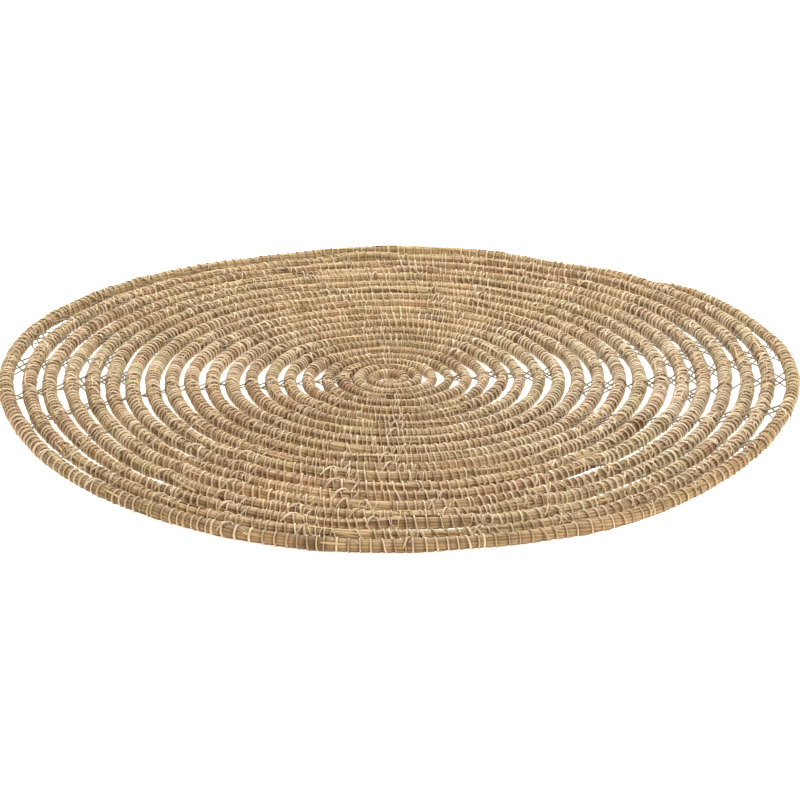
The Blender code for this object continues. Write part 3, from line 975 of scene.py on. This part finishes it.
def strand_material():
    m, nt, b = material("pale_strand")
    fib = attribute(nt, "fib")
    base = ramp(nt, [(0.0, (0.385, 0.250, 0.122)), (0.30, (0.550, 0.402, 0.228)),
                     (0.65, (0.650, 0.505, 0.315)), (1.0, (0.765, 0.628, 0.430))])
    nt.links.new(fib[2], base.inputs[0])
    line = fibre(nt, fib[0], fib[1], None, 5200.0, 260.0)
    streak = ramp(nt, [(0.30, (0.70, 0.62, 0.53)), (0.55, (1.0, 1.0, 1.0))])
    nt.links.new(line, streak.inputs[0])
    col = mix(nt, "MULTIPLY", 0.8, base.outputs[0], streak.outputs[0])
    own = attribute(nt, "own")
    tint = ramp(nt, [(0.0, (1.0, 0.87, 0.83)), (0.30, (1.0, 0.96, 0.93)), (0.60, (1.0, 1.0, 1.0)),
                     (1.0, (0.91, 0.98, 0.80))])
    nt.links.new(own[1], tint.inputs[0])
    col = mix(nt, "MULTIPLY", 0.9, col, tint.outputs[0])
    col = mix(nt, "MULTIPLY", own[0], col, (1.06, 1.14, 1.34))
    # the free stretch over a gap is painted darker and greyer, as painted shade: its tone is below zero
    free = math_node(nt, "MULTIPLY", fib[2], -1.0, clamp=True)
    col = mix(nt, "MIX", free, col, (0.265, 0.226, 0.158))
    nt.links.new(col, b.inputs["Base Color"])
    rough = node(nt, "ShaderNodeMapRange")
    rough.inputs[3].default_value, rough.inputs[4].default_value = 0.66, 0.46
    nt.links.new(line, rough.inputs[0])
    nt.links.new(rough.outputs[0], b.inputs["Roughness"])
    b.inputs["Specular IOR Level"].default_value = 0.4
    b.inputs["Sheen Weight"].default_value = 0.06
    bump = node(nt, "ShaderNodeBump")
    bump.inputs["Strength"].default_value = 0.6
    bump.inputs["Distance"].default_value = 0.00006
    nt.links.new(line, bump.inputs["Height"])
    nt.links.new(bump.outputs[0], b.inputs["Normal"])
    return m


straw = straw_material()
strand = strand_material()

data = core_arrays()
half = len(data[0]) // 2
core_in = core_piece("coil_inner", 0, half + 1, data, straw)
core_out = core_piece("coil_outer", half, len(data[0]), data, straw)
binding = wrap_pieces(strand)
ties = cross_stitches(strand)
through = through_stitches(strand)
slanting = long_stitches(strand)
stubs = stub_piece(strand)
stalks = stalk_piece(straw)

counts = {}
for p in (core_in, core_out, *binding, ties, through, slanting, stubs, stalks):
    p.data.calc_loop_triangles()
    counts[p.name] = len(p.data.loop_triangles)
    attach(p, "root")
print("wraps", len(WRAPS), "tie groups", len(TIES), "rope length %.2f" % ALONG[-1])
print("triangles", counts, "total", sum(counts.values()))
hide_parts("coil")
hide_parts("coil")

# ---------------------------------------------------------- floor, light, view
floor_mesh = bpy.data.meshes.new("floor")
floor_mesh.from_pydata([(-9, -9, -0.0001), (9, -9, -0.0001), (9, 9, -0.0001), (-9, 9, -0.0001)], [],
                       [(0, 1, 2, 3)])
floor = bpy.data.objects.new("floor", floor_mesh)
bpy.context.scene.collection.objects.link(floor)
fm, fnt, fb = material("pale_floor")
fb.inputs["Base Color"].default_value = (0.93, 0.93, 0.925, 1.0)
fb.inputs["Roughness"].default_value = 0.9
fb.inputs["Specular IOR Level"].default_value = 0.1
fb.inputs["Emission Color"].default_value = (1.0, 1.0, 0.99, 1.0)
fb.inputs["Emission Strength"].default_value = 0.75
floor_mesh.materials.append(fm)

world = bpy.data.worlds.new("studio")
bpy.context.scene.world = world
world.use_nodes = True
world.node_tree.nodes["Background"].inputs[0].default_value = (1.0, 0.995, 0.985, 1.0)
world.node_tree.nodes["Background"].inputs[1].default_value = 0.75


def area_light(name, where, size, power, colour):
    light = bpy.data.lights.new(name, "AREA")
    light.shape = "DISK"
    light.size = size
    light.energy = power
    light.color = colour
    ob = bpy.data.objects.new(name, light)
    bpy.context.scene.collection.objects.link(ob)
    ob.location = where
    ob.rotation_euler = (Vector((0, 0, 0)) - Vector(where)).to_track_quat("-Z", "Y").to_euler()
    return ob


area_light("key", (-0.8, 1.2, 2.1), 1.1, 56.0, (0.99, 1.0, 0.97))
area_light("fill", (1.2, -1.3, 1.15), 1.6, 20.0, (0.99, 1.0, 0.99))
area_light("top", (0.22, 0.88, 0.85), 0.9, 9.5, (0.99, 1.0, 0.985))

# the camera looks down 22 degrees from 1.31 m, at the spiral's middle, which
# shows 5.8 pixels left of and 20 pixels above the middle of an 800-pixel frame
FOCAL = 2761.0
ELEVATION, DISTANCE = math.radians(21.96), 1.309
camera = bpy.data.cameras.new("camera")
camera.sensor_width = 36.0
camera.lens = FOCAL / 800.0 * 36.0
camera.clip_start, camera.clip_end = 0.05, 60.0
view = bpy.data.objects.new("camera", camera)
bpy.context.scene.collection.objects.link(view)
target = Vector((SPIRAL_X, SPIRAL_Y, CORE_UP))
view.location = target + DISTANCE * Vector((0.0, -math.cos(ELEVATION), math.sin(ELEVATION)))
look = Matrix.Rotation(math.radians(90.0) - ELEVATION, 4, "X")
aim = Matrix.Rotation(-math.atan(5.8 / FOCAL), 4, "Y") @ Matrix.Rotation(-math.atan(20.0 / FOCAL), 4, "X")
view.rotation_euler = (look @ aim @ Matrix.Rotation(math.radians(-0.05), 4, "Z")).to_euler()
bpy.context.scene.camera = view

scene = bpy.context.scene
scene.view_settings.view_transform = "Standard"
scene.view_settings.look = "None"
scene.view_settings.exposure = 0.0
